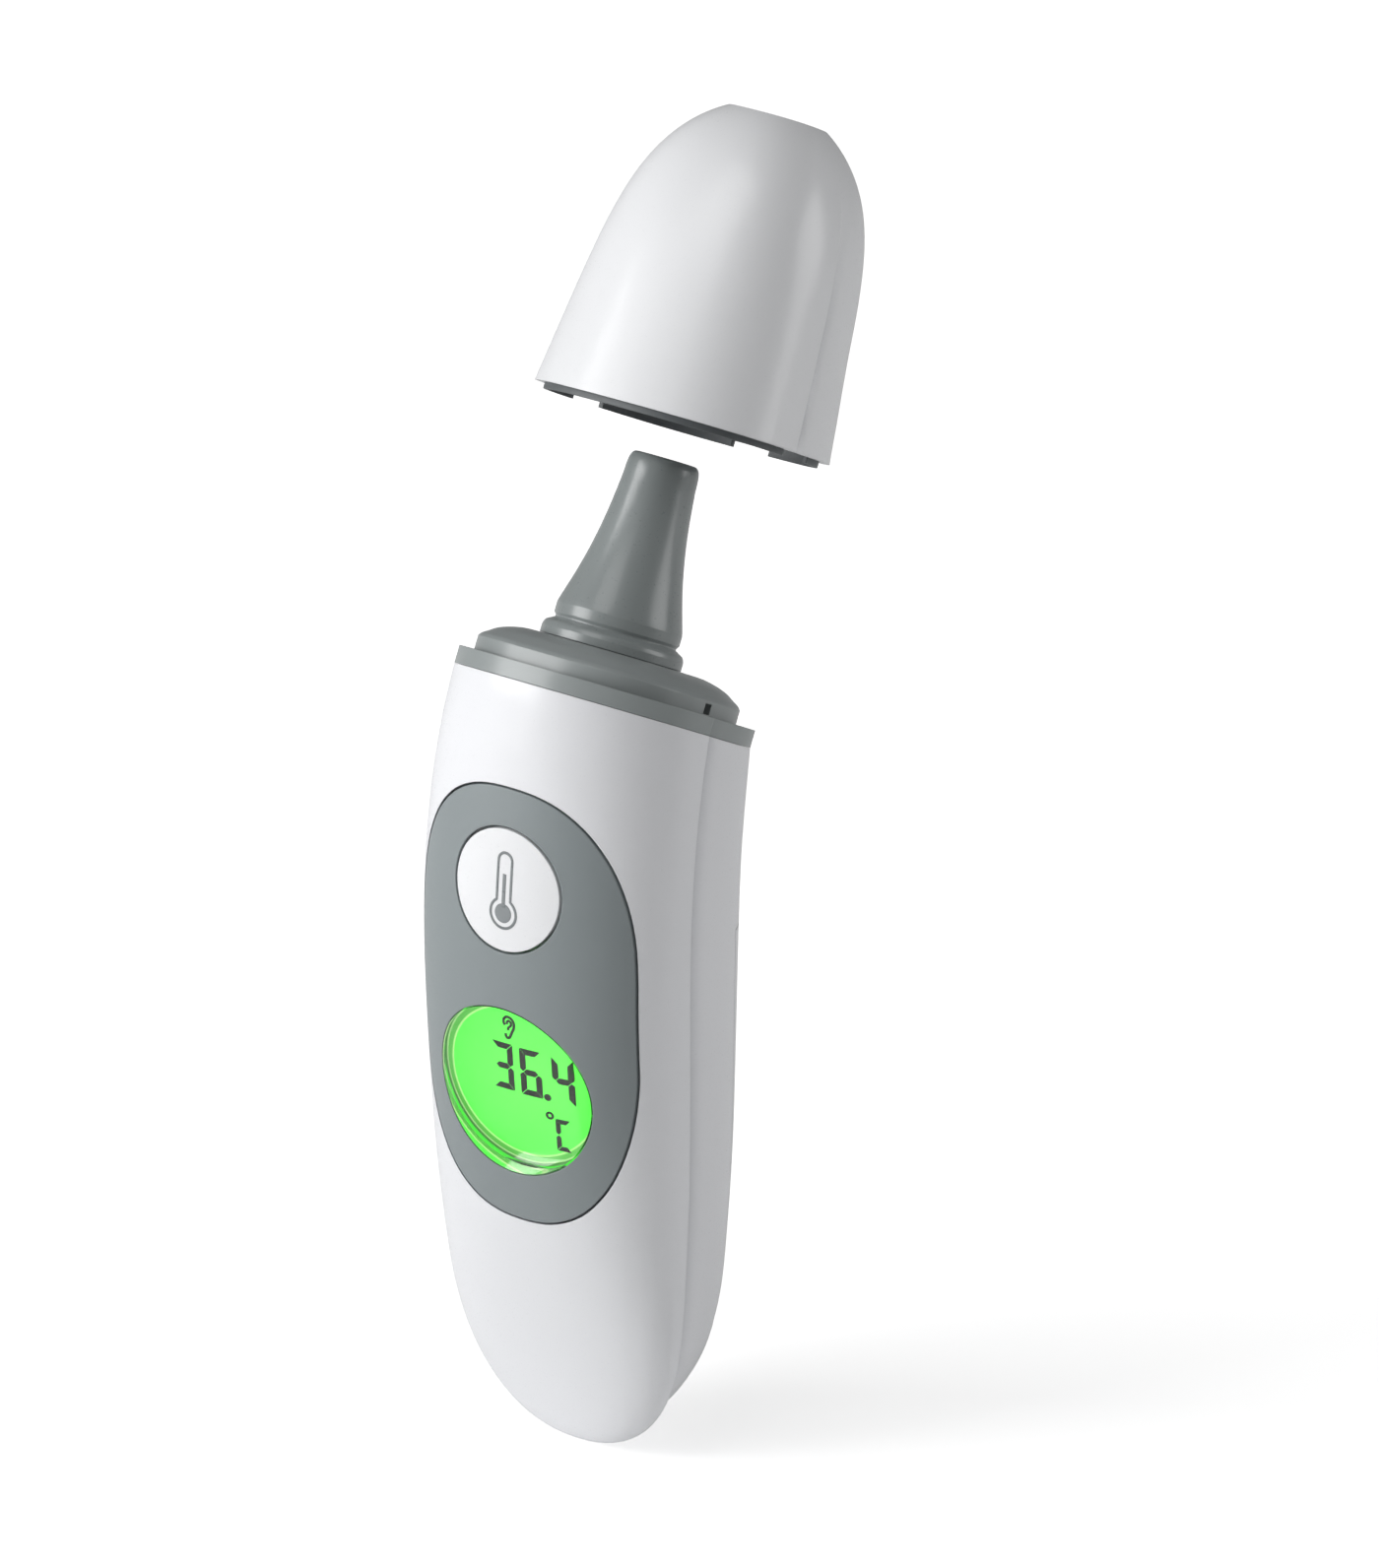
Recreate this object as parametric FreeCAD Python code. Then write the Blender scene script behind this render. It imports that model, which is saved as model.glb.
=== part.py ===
import FreeCAD, Part
import math
import os

# Digital ear thermometer with its cap held off the probe, millimetres.
# +Z runs up the handle, the display faces -Y, +X is to the right of someone reading it.
# Handle frame: zero is the middle of the button face.
# Head frame: +Z runs up the probe axis from the ledge, +Y to the back.
# The files are shifted so that the origin lies on the probe axis at the probe cover seat.

Vector = FreeCAD.Vector

# ---- driving dimensions ----
HEAD_TILT = 28.0          # lean of the probe, head and cap towards the back, degrees
LEDGE_N = 29.1            # height of the ledge the cap sits on, along the tilted axis
BAND_H = 2.4              # height of the collar band
PROBE_B = 8.18            # where the probe axis meets the ledge plane, measured backwards
SEAT_H = 8.4              # height of the probe cover seat above the ledge
WALL = 2.0                # shell wall
PANEL_T = 1.2             # thickness of the front panel
GAP = 0.22                # gap at the parting line of the two shells
LIP_STEP = 1.2            # how far the front shell's lip stands proud of the rear shell
FLUTE = 0.95              # extra depth of the rear shell's groove beside the lip
FLUTE_W = 2.1             # width of that groove
FRONT_EXP = 2.18          # roundness of the front shell's section
REAR_EXP = 3.0            # roundness of the rear shell's section
BTN_R = 8.3               # measure button radius
BTN_GAP = 0.38            # gap round the button
LENS_Z = -28.9            # middle of the display
LENS_R = 12.2             # display lens radius
LENS_GAP = 0.12           # gap round the lens
PCB_Y = 11.1              # front face of the board
PCB_BACK = PCB_Y + 1.2    # rear face of the board
PLUNGER_Y = PCB_Y - 4.5   # front end of the switch plunger
BAY_TOP, BAY_BOT = -14.0, -63.6   # ends of the battery bay
BAY_FLOOR = 17.7          # front face of the bay floor
FLOOR_T = 1.3             # thickness of the bay floor
CELL_D, CELL_L = 10.5, 44.5       # AAA cell
CELL_X, CELL_Y = 5.6, 24.6        # cell axes, one each side of the middle
SCREWS = [(side * x, z) for x, z in ((14.4, -19.0), (11.5, -68.6)) for side in (-1, 1)]

# handle sections: height, half width at the lip, lip y, front face y, back face y
TABLE = [
    (36.0, 17.61, 26.37, 7.40, 41.35), (30.0, 18.46, 22.85, 5.40, 40.67),
    (24.0, 19.11, 19.95, 3.73, 39.95), (18.0, 19.60, 17.63, 2.36, 39.11),
    (12.0, 19.94, 15.85, 1.27, 38.11), (6.0, 20.16, 14.57, 0.43, 37.02),
    (0.0, 20.29, 13.74, -0.18, 36.09), (-8.0, 20.33, 13.22, -0.65, 35.45),
    (-16.0, 20.27, 13.18, -0.73, 35.10), (-24.0, 20.16, 13.33, -0.36, 34.85),
    (-32.0, 20.09, 13.41, 0.48, 34.55), (-40.0, 20.01, 13.42, 1.66, 34.20),
    (-48.0, 19.75, 13.45, 3.07, 33.75), (-55.0, 19.35, 13.50, 4.56, 33.30),
    (-61.0, 18.91, 13.59, 6.02, 32.85), (-66.0, 18.26, 13.79, 7.32, 32.30),
    (-70.0, 17.39, 14.09, 8.43, 31.50), (-73.5, 16.22, 14.42, 9.47, 30.28),
    (-76.5, 14.77, 14.75, 10.43, 28.41), (-79.0, 13.10, 15.03, 11.31, 25.55),
]
# front shell's bottom end: height, half width, lip y, front face y
FRONT_TIP = [
    (-81.0, 11.29, 15.25, 12.11), (-82.6, 9.31, 15.42, 12.87), (-83.8, 7.20, 15.55, 13.60),
    (-84.6, 5.03, 15.63, 14.27), (-85.05, 2.80, 15.67, 14.92),
]
# rear shell's bottom end: height, half width, lip y, back face y, width factor
REAR_TIP = [(-80.1, 12.15, 15.15, 22.80, 0.903), (-80.5, 11.75, 15.19, 19.90, 0.85)]
# width factor of the rear shell by height, 1 at the heights not listed
REAR_SHRINK = {-66.0: 0.992, -70.0: 0.986, -73.5: 0.977, -76.5: 0.963, -79.0: 0.937}
# section planes below the collar: height where the plane meets y = 0, lean in degrees
FAN = [
    (25.0, 25.5), (20.0, 23.0), (15.0, 20.5), (10.0, 18.0), (5.0, 15.5),
    (0.0, 13.0), (-6.0, 9.8), (-12.0, 6.5), (-18.0, 3.2),
]
LEVEL_TOP = -24.0         # from here down the sections are level
CAVITY_BOT = -73.5        # lowest section of the cavities

SIN_TILT = math.sin(math.radians(HEAD_TILT))
COS_TILT = math.cos(math.radians(HEAD_TILT))


# ---- curves and placing ----
def spline(xs, ys):
    """Natural cubic spline through (xs, ys), xs rising."""
    count = len(xs)
    gaps = [xs[i + 1] - xs[i] for i in range(count - 1)]
    ratio, solved = [0.0] * count, [0.0] * count
    for i in range(1, count - 1):
        bend = 3 * (ys[i + 1] - ys[i]) / gaps[i] - 3 * (ys[i] - ys[i - 1]) / gaps[i - 1]
        pivot = 2 * (xs[i + 1] - xs[i - 1]) - gaps[i - 1] * ratio[i - 1]
        ratio[i] = gaps[i] / pivot
        solved[i] = (bend - gaps[i - 1] * solved[i - 1]) / pivot
    linear, square, cubic = [0.0] * count, [0.0] * count, [0.0] * count
    for i in range(count - 2, -1, -1):
        gap = gaps[i]
        square[i] = solved[i] - ratio[i] * square[i + 1]
        linear[i] = (ys[i + 1] - ys[i]) / gap - gap * (square[i + 1] + 2 * square[i]) / 3
        cubic[i] = (square[i + 1] - square[i]) / (3 * gap)

    def at(x):
        i = 0
        while i < count - 2 and x > xs[i + 1]:
            i += 1
        t = x - xs[i]
        return ys[i] + linear[i] * t + square[i] * t * t + cubic[i] * t ** 3
    return at


def run_lengths(points):
    """Length along a polyline at each of its points."""
    run = [0.0]
    for start, end in zip(points, points[1:]):
        run.append(run[-1] + end.sub(start).Length)
    return run


def even(points, count):
    """Resample a polyline to evenly spaced points."""
    run = run_lengths(points)
    out, j = [], 0
    for k in range(count):
        target = run[-1] * k / (count - 1)
        while j < len(points) - 2 and run[j + 1] < target:
            j += 1
        span = run[j + 1] - run[j]
        part = 0 if span == 0 else (target - run[j]) / span
        out.append(points[j] + (points[j + 1] - points[j]) * max(0.0, min(1.0, part)))
    return out


def even_steps(count):
    """Curve parameters from 0 to 1 for evenly spaced points."""
    return [i / (count - 1) for i in range(count)]


def curve_through(points, **options):
    curve = Part.BSplineCurve()
    curve.interpolate(Points=points, **options)
    return curve


def closed_wire(points, **options):
    return Part.Wire([curve_through(points, PeriodicFlag=True, **options).toShape()])


def arc_edge(points, count=41):
    """Edge through evenly spaced points of an arc, and its two ends."""
    points = even(points, count)
    edge = curve_through(points, Parameters=even_steps(count)).toShape()
    return edge, points[0], points[-1]


def line(start, end):
    return Part.LineSegment(start, end).toShape()


def signed_power(size, ratio, exponent):
    """Superellipse coordinate for a sine or cosine, with its sign."""
    return math.copysign(size * abs(ratio) ** (2 / exponent), ratio)


def loft(wires):
    return Part.makeLoft(wires, True, False, False, 3)


def sweep(points, radius):
    """Round wire along a spline through the points."""
    curve = curve_through(points)
    tangent = curve.tangent(curve.FirstParameter)[0]
    profile = Part.Wire([Part.Circle(points[0], tangent, radius).toShape()])
    pipe = Part.Wire([curve.toShape()]).makePipeShell([profile], True, True)
    return Part.Solid(pipe) if pipe.ShapeType == "Shell" else pipe


def revolve(wire):
    return Part.Face(wire).revolve(Vector(0, 0, 0), Vector(0, 0, 1), 360)


def profile_points(profile):
    return [Vector(radius, 0, height) for radius, height in profile]


def turned(profile):
    """Revolve a straight-sided profile of (radius, height)."""
    points = profile_points(profile)
    return revolve(Part.makePolygon(points + [points[0]]))


def box(x_min, x_max, y_min, y_max, z_min, z_max):
    return Part.makeBox(x_max - x_min, y_max - y_min, z_max - z_min, Vector(x_min, y_min, z_min))


def slab(half_width, y_min, y_max, z_min, z_max):
    """Box centred on x = 0."""
    return box(-half_width, half_width, y_min, y_max, z_min, z_max)


def cyl_y(radius, x, z, y_min, y_max):
    return Part.makeCylinder(radius, y_max - y_min, Vector(x, y_min, z), Vector(0, 1, 0))


def cyl_z(radius, x, y, z_min, z_max):
    return Part.makeCylinder(radius, z_max - z_min, Vector(x, y, z_min))


def head_point(height):
    """Point of the probe axis at a height above the ledge, in the handle frame."""
    along = LEDGE_N + height
    return Vector(0, SIN_TILT * along + COS_TILT * PROBE_B, COS_TILT * along - SIN_TILT * PROBE_B)


def placed(shape, base, angle):
    """Copy of a shape turned about X and moved to the base point."""
    copy = shape.copy()
    place = FreeCAD.Placement(base, FreeCAD.Rotation(Vector(1, 0, 0), angle))
    copy.Placement = place.multiply(copy.Placement)
    return copy


def head_place(shape, lift=0.0):
    """Move a shape from the head frame to the handle frame."""
    return placed(shape, head_point(lift), -HEAD_TILT)


# ---- shell lofts ----
COLLAR_N = LEDGE_N - BAND_H     # underside of the collar band, along the tilted axis
TOP_N = COLLAR_N - 0.05         # top of the shells
CAVITY_RISE = 0.6               # how far the cavities run past that top
CAVITY_PUSH = 1.0               # how far they run across the parting line

ROWS = sorted(TABLE)
HALF, LIP, FACE, BACK = [
    spline([row[0] for row in ROWS], [row[k] for row in ROWS]) for k in (1, 2, 3, 4)]
LEVELS = [row for row in TABLE if row[0] <= LEVEL_TOP]
FRONT_ROWS = [(z, half, lip, face) for z, half, lip, face, back in LEVELS] + FRONT_TIP
REAR_ROWS = [(z, half, lip, back, REAR_SHRINK.get(z, 1.0))
             for z, half, lip, face, back in LEVELS] + REAR_TIP


def plane_z(height, tilt, y):
    """Height at y of a section plane that crosses y = 0 at the given height."""
    return height - math.tan(math.radians(tilt)) * y


def front_arc(height, tilt, inset, row=None, count=160):
    """Front section from +X round the front to -X."""
    points = []
    for i in range(count + 1):
        angle = math.pi * i / count
        bulge = math.sin(angle) ** (2 / FRONT_EXP)
        y = 8.0
        for _ in range(12):     # settle y on the leaning plane
            z = plane_z(height, tilt, y)
            half, lip, face = row or (HALF(z), LIP(z), FACE(z))
            y = lip - (lip - face - inset) * bulge
        x = signed_power(half - inset, math.cos(angle), FRONT_EXP)
        points.append(Vector(x, y, plane_z(height, tilt, y)))
    return points


def rear_arc(height, tilt, inset, row=None, count=200):
    """Rear section from -X round the back to +X, with the groove beside the lip."""
    points = []
    for i in range(count + 1):
        angle = math.pi * i / count
        bulge = math.sin(angle) ** (2 / REAR_EXP)
        y = 25.0
        for _ in range(14):     # settle y on the leaning plane
            z = plane_z(height, tilt, y)
            half, lip, back, shrink = row or (HALF(z), LIP(z), BACK(z), 1.0)
            y = lip + GAP + (back - lip - GAP - inset) * bulge
        x = signed_power((half - LIP_STEP) * shrink - inset, -math.cos(angle), REAR_EXP)
        groove = FLUTE * math.exp(-((y - lip) / FLUTE_W) ** 2) * min(1.0, abs(x) / 6.0)
        x -= math.copysign(groove, x)
        points.append(Vector(x, y, plane_z(height, tilt, y)))
    return points


def section_wire(arc, push, height, tilt):
    """The arc closed by a straight chord, or by a chord pushed along Y."""
    edge, start, end = arc_edge(arc)
    if not push:
        return Part.Wire([edge, line(end, start)])
    start_out, end_out = [
        Vector(p.x, p.y + push, plane_z(height, tilt, p.y + push)) for p in (start, end)]
    return Part.Wire([edge, line(end, end_out), line(end_out, start_out), line(start_out, start)])


def shell_loft(arc, rows, inset=0.0, push=0.0):
    """Outer body of a shell, or with a push the cavity body inside it."""
    top = (TOP_N + (CAVITY_RISE if push else 0.0)) / COS_TILT
    wires = [section_wire(arc(z, tilt, inset), push, z, tilt)
             for z, tilt in [(top, HEAD_TILT)] + FAN]
    for z, *row in rows:
        if not push or z >= CAVITY_BOT:
            wires.append(section_wire(arc(z, 0, inset, row), push, z, 0))
    return loft(wires)


FRONT_BODY = shell_loft(front_arc, FRONT_ROWS)
FRONT_CAVITY = shell_loft(front_arc, FRONT_ROWS, WALL, CAVITY_PUSH)
PANEL_BACK = shell_loft(front_arc, FRONT_ROWS, PANEL_T, CAVITY_PUSH)
REAR_BODY = shell_loft(rear_arc, REAR_ROWS)
REAR_CAVITY = shell_loft(rear_arc, REAR_ROWS, WALL, -CAVITY_PUSH)
REAR_SKIN = REAR_BODY.cut(REAR_CAVITY)

# ---- front shell and panel ----
PANEL_HALF = 17.25                            # half width of the panel
PANEL_EXP = 2.4                               # roundness of the panel outline
PANEL_TOP_Z, PANEL_TOP_R = -11.0, 24.7        # centre and height of the upper half
PANEL_BOT_Z, PANEL_BOT_R = -21.0, 27.2        # centre and height of the lower half
PANEL_GAP = 0.3                               # gap round the panel
BTN_HOLE_R, LENS_HOLE_R = 9.7, 13.9           # holes in the front shell
HOLE_Y = (-6, 9)                              # reach of the hole cutters
POST_R, POST_BORE_R = 1.4, 0.95


def panel_prism(grow):
    """Panel outline, grown all round, run through the front shell."""
    y_front, y_back, count = -8, 12, 72
    points = []
    for i in range(count):
        angle = 2 * math.pi * i / count
        rise = math.sin(angle)
        x = signed_power(PANEL_HALF + grow, math.cos(angle), PANEL_EXP)
        if rise >= 0:
            z = PANEL_TOP_Z + signed_power(PANEL_TOP_R + grow, rise, PANEL_EXP)
        else:
            z = PANEL_BOT_Z + signed_power(PANEL_BOT_R + grow, rise, PANEL_EXP)
        points.append(Vector(x, y_front, z))
    outline = closed_wire(even(points + [points[0]], count + 1)[:-1])
    return Part.Face(outline).extrude(Vector(0, y_back - y_front, 0))


def make_front_shell():
    skin = FRONT_BODY.cut(FRONT_CAVITY)
    shell = skin.cut(panel_prism(PANEL_GAP).cut(PANEL_BACK))
    shell = shell.cut(cyl_y(BTN_HOLE_R, 0, 0, *HOLE_Y))
    shell = shell.cut(cyl_y(LENS_HOLE_R, 0, LENS_Z, *HOLE_Y))
    posts = []
    for x, z in SCREWS:
        post = cyl_y(POST_R, x, z, 1.0, BAY_FLOOR - 0.1)
        post = post.cut(cyl_y(POST_BORE_R, x, z, 8.0, BAY_FLOOR + 1))
        post = post.cut(skin)
        # keep only what reaches the bay floor, not scraps in front of the skin
        posts += [solid for solid in post.Solids if solid.BoundBox.YMax > BAY_FLOOR - 0.5]
    return shell.fuse(posts)


def make_front_panel():
    panel = FRONT_BODY.common(panel_prism(0)).cut(PANEL_BACK)
    panel = panel.cut(cyl_y(BTN_R + BTN_GAP, 0, 0, *HOLE_Y))
    panel = panel.cut(cyl_y(LENS_R + LENS_GAP, 0, LENS_Z, *HOLE_Y))
    return Part.makeCompound([solid for solid in panel.Solids if solid.Volume > 50])


# ---- rear shell and battery door ----
DOOR_Y = 27.0             # plane that parts the battery door from the rear shell
DOOR_TOP = -10.6          # top edge of the door opening
BAY_HALF = 12.6           # half width of the bay
BAY_SIDE, BAY_END = 1.2, 1.6      # thickness of the bay's side and end walls
TONGUE_HALF = 6           # half width of the door's tongue
TONGUE_Y, TONGUE_BOT = 32.0, -14.5


def make_rear_shell():
    shell = REAR_SKIN.cut(slab(30, DOOR_Y, 60, -100, DOOR_TOP))
    top, bottom = BAY_TOP + BAY_END, BAY_BOT - BAY_END
    bay = slab(25, BAY_FLOOR, BAY_FLOOR + FLOOR_T, -72.0, top)
    bay = bay.fuse(slab(BAY_HALF, BAY_FLOOR, 30.6, BAY_TOP, top))
    bay = bay.fuse(slab(BAY_HALF, BAY_FLOOR, 29.6, bottom, BAY_BOT))
    for x in (-BAY_HALF, BAY_HALF - BAY_SIDE):
        bay = bay.fuse(box(x, x + BAY_SIDE, BAY_FLOOR, 25.0, bottom, top))
    for side in (-1, 1):
        bay = bay.cut(cyl_z(CELL_D / 2 + 0.15, side * CELL_X, CELL_Y, BAY_BOT, BAY_TOP))
    shell = shell.fuse(bay.common(REAR_CAVITY))
    for x, z in SCREWS:
        shell = shell.cut(cyl_y(1.15, x, z, 16, 30))
        shell = shell.cut(cyl_y(1.95, x, z, BAY_FLOOR + FLOOR_T, 30))
    return shell


def make_battery_door():
    door = REAR_SKIN.common(slab(30, DOOR_Y + 0.1, 60, -100, DOOR_TOP - 0.15))
    tongue = slab(TONGUE_HALF, TONGUE_Y, TONGUE_Y + 0.7, TONGUE_BOT, -8.4)
    root = slab(TONGUE_HALF, TONGUE_Y, 34.2, TONGUE_BOT, DOOR_TOP - 0.4)
    return door.fuse(tongue.fuse(root.common(REAR_BODY)))


# ---- display stack, drawn flat: y up the display, z out of its face ----
LCD_TILT = 6.0            # lean of the display stack, degrees
LCD_Y = 0.12              # handle y of the stack's zero
FRAME_HALF = 12.9         # half side of the square frame
POCKET_HALF = 12.35       # half side of its pocket


def lcd_place(shape):
    return placed(shape, Vector(0, LCD_Y, LENS_Z), 90 + LCD_TILT)


def make_display_lens():
    """Lens trimmed to the front face, with a flange behind."""
    lens = lcd_place(cyl_z(LENS_R, 0, 0, -4.4, 5.0)).common(FRONT_BODY)
    lens = lens.common(cyl_y(LENS_R - 0.02, 0, LENS_Z, -6, 12))
    return lens.fuse(lcd_place(cyl_z(13.3, 0, 0, -5.1, -4.35)))


def make_lcd_frame():
    frame = slab(FRAME_HALF, -FRAME_HALF, FRAME_HALF, -9.6, -6.0)
    frame = frame.cut(slab(POCKET_HALF, -POCKET_HALF, POCKET_HALF, -9.2, -4.2))
    frame = frame.cut(slab(10, -7.5, 10.5, -10, -7))                        # window
    frame = frame.cut(slab(POCKET_HALF, -POCKET_HALF, -9.95, -10, -7))      # strip slot
    return lcd_place(frame)


def make_contact_strip():
    """Strip trimmed off just in front of the board."""
    strip = lcd_place(slab(11.0, -12.1, -10.3, -17.05, -7.05))
    return strip.cut(slab(20, PCB_Y - 0.02, 30, -60, 0))


def make_backlight_leds():
    return Part.makeCompound(
        [box(x - 1.5, x + 1.5, PCB_Y - 1.0, PCB_Y, -22.0, -20.4) for x in (-6, 6)])


# ---- board and button ----
BUZZER_Z = 3.5


def make_main_board():
    """Board with its two top corners cut away."""
    board = slab(12.6, PCB_Y, PCB_BACK, -46.5, 12.5)
    for x in (-13, 9.5):
        board = board.cut(box(x, x + 3.5, PCB_Y - 1, PCB_Y + 3, 8.5, 13))
    return board


def make_buzzer():
    buzzer = cyl_y(4.6, 0, BUZZER_Z, PCB_BACK, PCB_BACK + 3.1)
    return buzzer.cut(cyl_y(0.8, 0, BUZZER_Z, PCB_BACK + 2.0, PCB_BACK + 4))


def make_switch_body():
    return slab(3, PCB_Y - 3.6, PCB_Y, -3, 3).cut(cyl_y(1.8, 0, 0, PCB_Y - 4, PCB_Y - 1.6))


def make_measure_button():
    """Button cut from the front face, with a flange, a hollow back and a stem."""
    button = FRONT_BODY.common(cyl_y(BTN_R, 0, 0, -6, 2.7))
    button = button.fuse(cyl_y(9.25, 0, 0, 2.65, 3.4))
    button = button.cut(cyl_y(6.6, 0, 0, 1.5, 4.0))
    return button.fuse(cyl_y(2.2, 0, 0, 1.0, PLUNGER_Y - 0.05))


# ---- screws, cells and contacts ----
SHANK_R, SHANK_L = 0.9, 6.4
SCREW_HEAD_R, SCREW_HEAD_H = 1.8, 1.2
SLOT_L, SLOT_W = 1.2, 0.2         # half length and half width of the cross slots
SPRING_H, SPRING_TURNS, SPRING_STEPS = 3.4, 3.25, 52
SPRING_R, SPRING_TAPER = 2.9, 0.7
SPRING_WIRE_R = 0.25
SPRING_SET = 0.78                 # from the bay's end to the spring


def make_screw(x, z):
    seat = BAY_FLOOR + FLOOR_T + 0.02
    screw = cyl_y(SHANK_R, x, z, seat - SHANK_L, seat)
    screw = screw.fuse(cyl_y(SCREW_HEAD_R, x, z, seat, seat + SCREW_HEAD_H))
    for dx, dz in ((SLOT_L, SLOT_W), (SLOT_W, SLOT_L)):
        screw = screw.cut(box(x - dx, x + dx, seat + 0.7, seat + 2, z - dz, z + dz))
    return screw


def make_cell(x, z_min, up):
    body = cyl_z(CELL_D / 2, x, CELL_Y, z_min, z_min + CELL_L - 0.9)
    rims = [edge for edge in body.Edges if edge.Curve.TypeId == "Part::GeomCircle"]
    body = body.makeFillet(0.5, rims)
    cell = body.fuse(cyl_z(1.9, x, CELL_Y, z_min + CELL_L - 1.0, z_min + CELL_L))
    if not up:
        cell.rotate(Vector(x, CELL_Y, z_min + CELL_L / 2), Vector(1, 0, 0), 180)
    return cell


def make_battery_cells():
    left = make_cell(-CELL_X, BAY_TOP - 0.6 - CELL_L, True)
    right = make_cell(CELL_X, BAY_BOT + 0.6, False)
    return Part.makeCompound([left, right])


def make_spring(x, z_min):
    """Spring that narrows upwards."""
    points = []
    for i in range(SPRING_STEPS + 1):
        angle = 2 * math.pi * SPRING_TURNS * i / SPRING_STEPS
        radius = SPRING_R - SPRING_TAPER * i / SPRING_STEPS
        z = z_min + SPRING_WIRE_R + (SPRING_H - 2 * SPRING_WIRE_R) * i / SPRING_STEPS
        points.append(
            Vector(x + radius * math.cos(angle), CELL_Y + radius * math.sin(angle), z))
    return sweep(points, SPRING_WIRE_R)


def make_battery_springs():
    low = make_spring(-CELL_X, BAY_BOT + SPRING_SET)
    high = make_spring(CELL_X, BAY_TOP - SPRING_SET - 3.5)
    return Part.makeCompound([low, high])


def make_battery_contacts():
    """A plate at each end of each cell."""
    return Part.makeCompound([
        box(x - 4.2, x + 4.2, 20.4, 28.8, z, z + 0.4)
        for x in (-CELL_X, CELL_X) for z in (BAY_TOP - 0.5, BAY_BOT + 0.1)])


# ---- head collar, in the head frame ----
HEAD_LIP_B = 6.8                          # where front and rear outlines meet, as PROBE_B
HEAD_HALF = 18.25                         # half width of the outline
HEAD_FRONT, HEAD_REAR = 15.85, 21.6       # its reach to the front and to the back
HEAD_SIDE_EXP, HEAD_REAR_EXP = 2.5, 2.9   # its roundness
SIDE_Y = 9.03 - PROBE_B                   # y of the side notches
BOSS_INSET = 1.75
# rounded top of the boss: height, inset beyond BOSS_INSET
DOME = [
    (1.9, 0), (2.2, 0.2), (2.6, 0.65), (2.95, 1.2), (3.35, 1.75),
    (3.7, 2.4), (4.1, 3.5), (4.4, 4.7), (4.55, 6.0),
]


def head_outline(inset, height, shift=0.0):
    """Smooth outline of the head, without the side groove."""
    points, count = [], 240
    for i in range(count):
        angle = 2 * math.pi * i / count
        x = signed_power(HEAD_HALF - inset, math.cos(angle), HEAD_SIDE_EXP)
        side = math.sin(angle)
        if side < 0:
            y = signed_power(HEAD_FRONT - inset, side, FRONT_EXP)
        else:
            y = signed_power(HEAD_REAR - inset, side, HEAD_REAR_EXP)
        points.append(Vector(x, y + HEAD_LIP_B - PROBE_B + shift, height))
    points = even(points + [points[0]], 61)
    return closed_wire(points[:-1], Parameters=even_steps(61))


def head_prism(inset, z_min, z_max):
    return Part.Face(head_outline(inset, z_min)).extrude(Vector(0, 0, z_max - z_min))


def make_head_collar():
    bottom = COLLAR_N / COS_TILT
    front, front_start, front_end = arc_edge(front_arc(bottom, HEAD_TILT, 0))
    rear, rear_start, rear_end = arc_edge(rear_arc(bottom, HEAD_TILT, 0))
    outline = Part.Wire([front, line(front_end, rear_start), rear, line(rear_end, front_start)])
    band = Part.Face(outline).extrude(Vector(0, SIN_TILT * BAND_H, COS_TILT * BAND_H))
    boss = head_prism(BOSS_INSET, -0.6, DOME[0][0])
    boss = boss.fuse(loft([head_outline(BOSS_INSET + extra, z) for z, extra in DOME]))
    collar = band.fuse(head_place(boss))
    collar = collar.cut(head_place(head_prism(3.6, -3, 1.2)))       # hollow underneath
    collar = collar.cut(head_place(cyl_z(6.5, 0, 0, -2, 8)))        # probe bore
    groove = head_prism(0.85, -0.9, 0.6).cut(head_prism(BOSS_INSET, -1, 1))
    collar = collar.cut(head_place(groove))
    skirt = head_prism(3.3, -5.2, -2.3).cut(head_prism(4.5, -6, -2))
    collar = collar.fuse(head_place(skirt))
    for x in (-16.4, 16.4):
        notch = box(x - 1.1, x + 1.1, SIDE_Y - 0.75, SIDE_Y + 0.75, 0.15, 1.55)
        collar = collar.cut(head_place(notch))
    return collar


# ---- probe, in the head frame; profiles are (radius, height) ----
PROBE_TIP_R, PROBE_SEAT_R = 4.2, 8.5
PROBE_FOOT_H = 9.05       # where the flare reaches PROBE_SEAT_R
PROBE_TIP = [(3.95, 30.8), (4.3, 30.67), (4.55, 30.35)]
FLARE_HEIGHTS = [
    29.6, 28.0, 26.0, 24.0, 22.0, 20.0, 18.0, 16.0, 14.0, 12.5, 11.2, 10.1, 9.4]
PROBE_FLANGE = [
    (8.5, 7.7), (8.2, 7.3), (8.2, 7.1), (8.7, 6.8), (9.25, 6.5), (9.45, 6.2), (9.6, 5.7),
    (9.6, 4.62)]
PROBE_BORE = [
    (6.4, 4.62), (6.4, 1.4), (5.4, 1.4), (5.4, 12.0), (3.7, 21.0), (3.2, 29.3),
    (2.85, 29.3), (2.85, 30.25), (3.25, 30.25), (3.25, 30.8)]
WAVEGUIDE = [(2.3, 10.0), (2.75, 10.0), (2.75, 30.2), (2.3, 30.2)]
SENSOR_HOLDER = [
    (2.8, 8.6), (2.8, 13.0), (4.6, 13.0), (5.3, 11.0), (5.3, 2.4), (2.75, 2.4),
    (2.75, 5.3), (3.2, 5.3), (3.2, 8.6)]
THERMOPILE = [(0, 5.4), (3.1, 5.4), (3.1, 5.8), (2.6, 5.8), (2.6, 9.2), (0, 9.2)]


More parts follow.
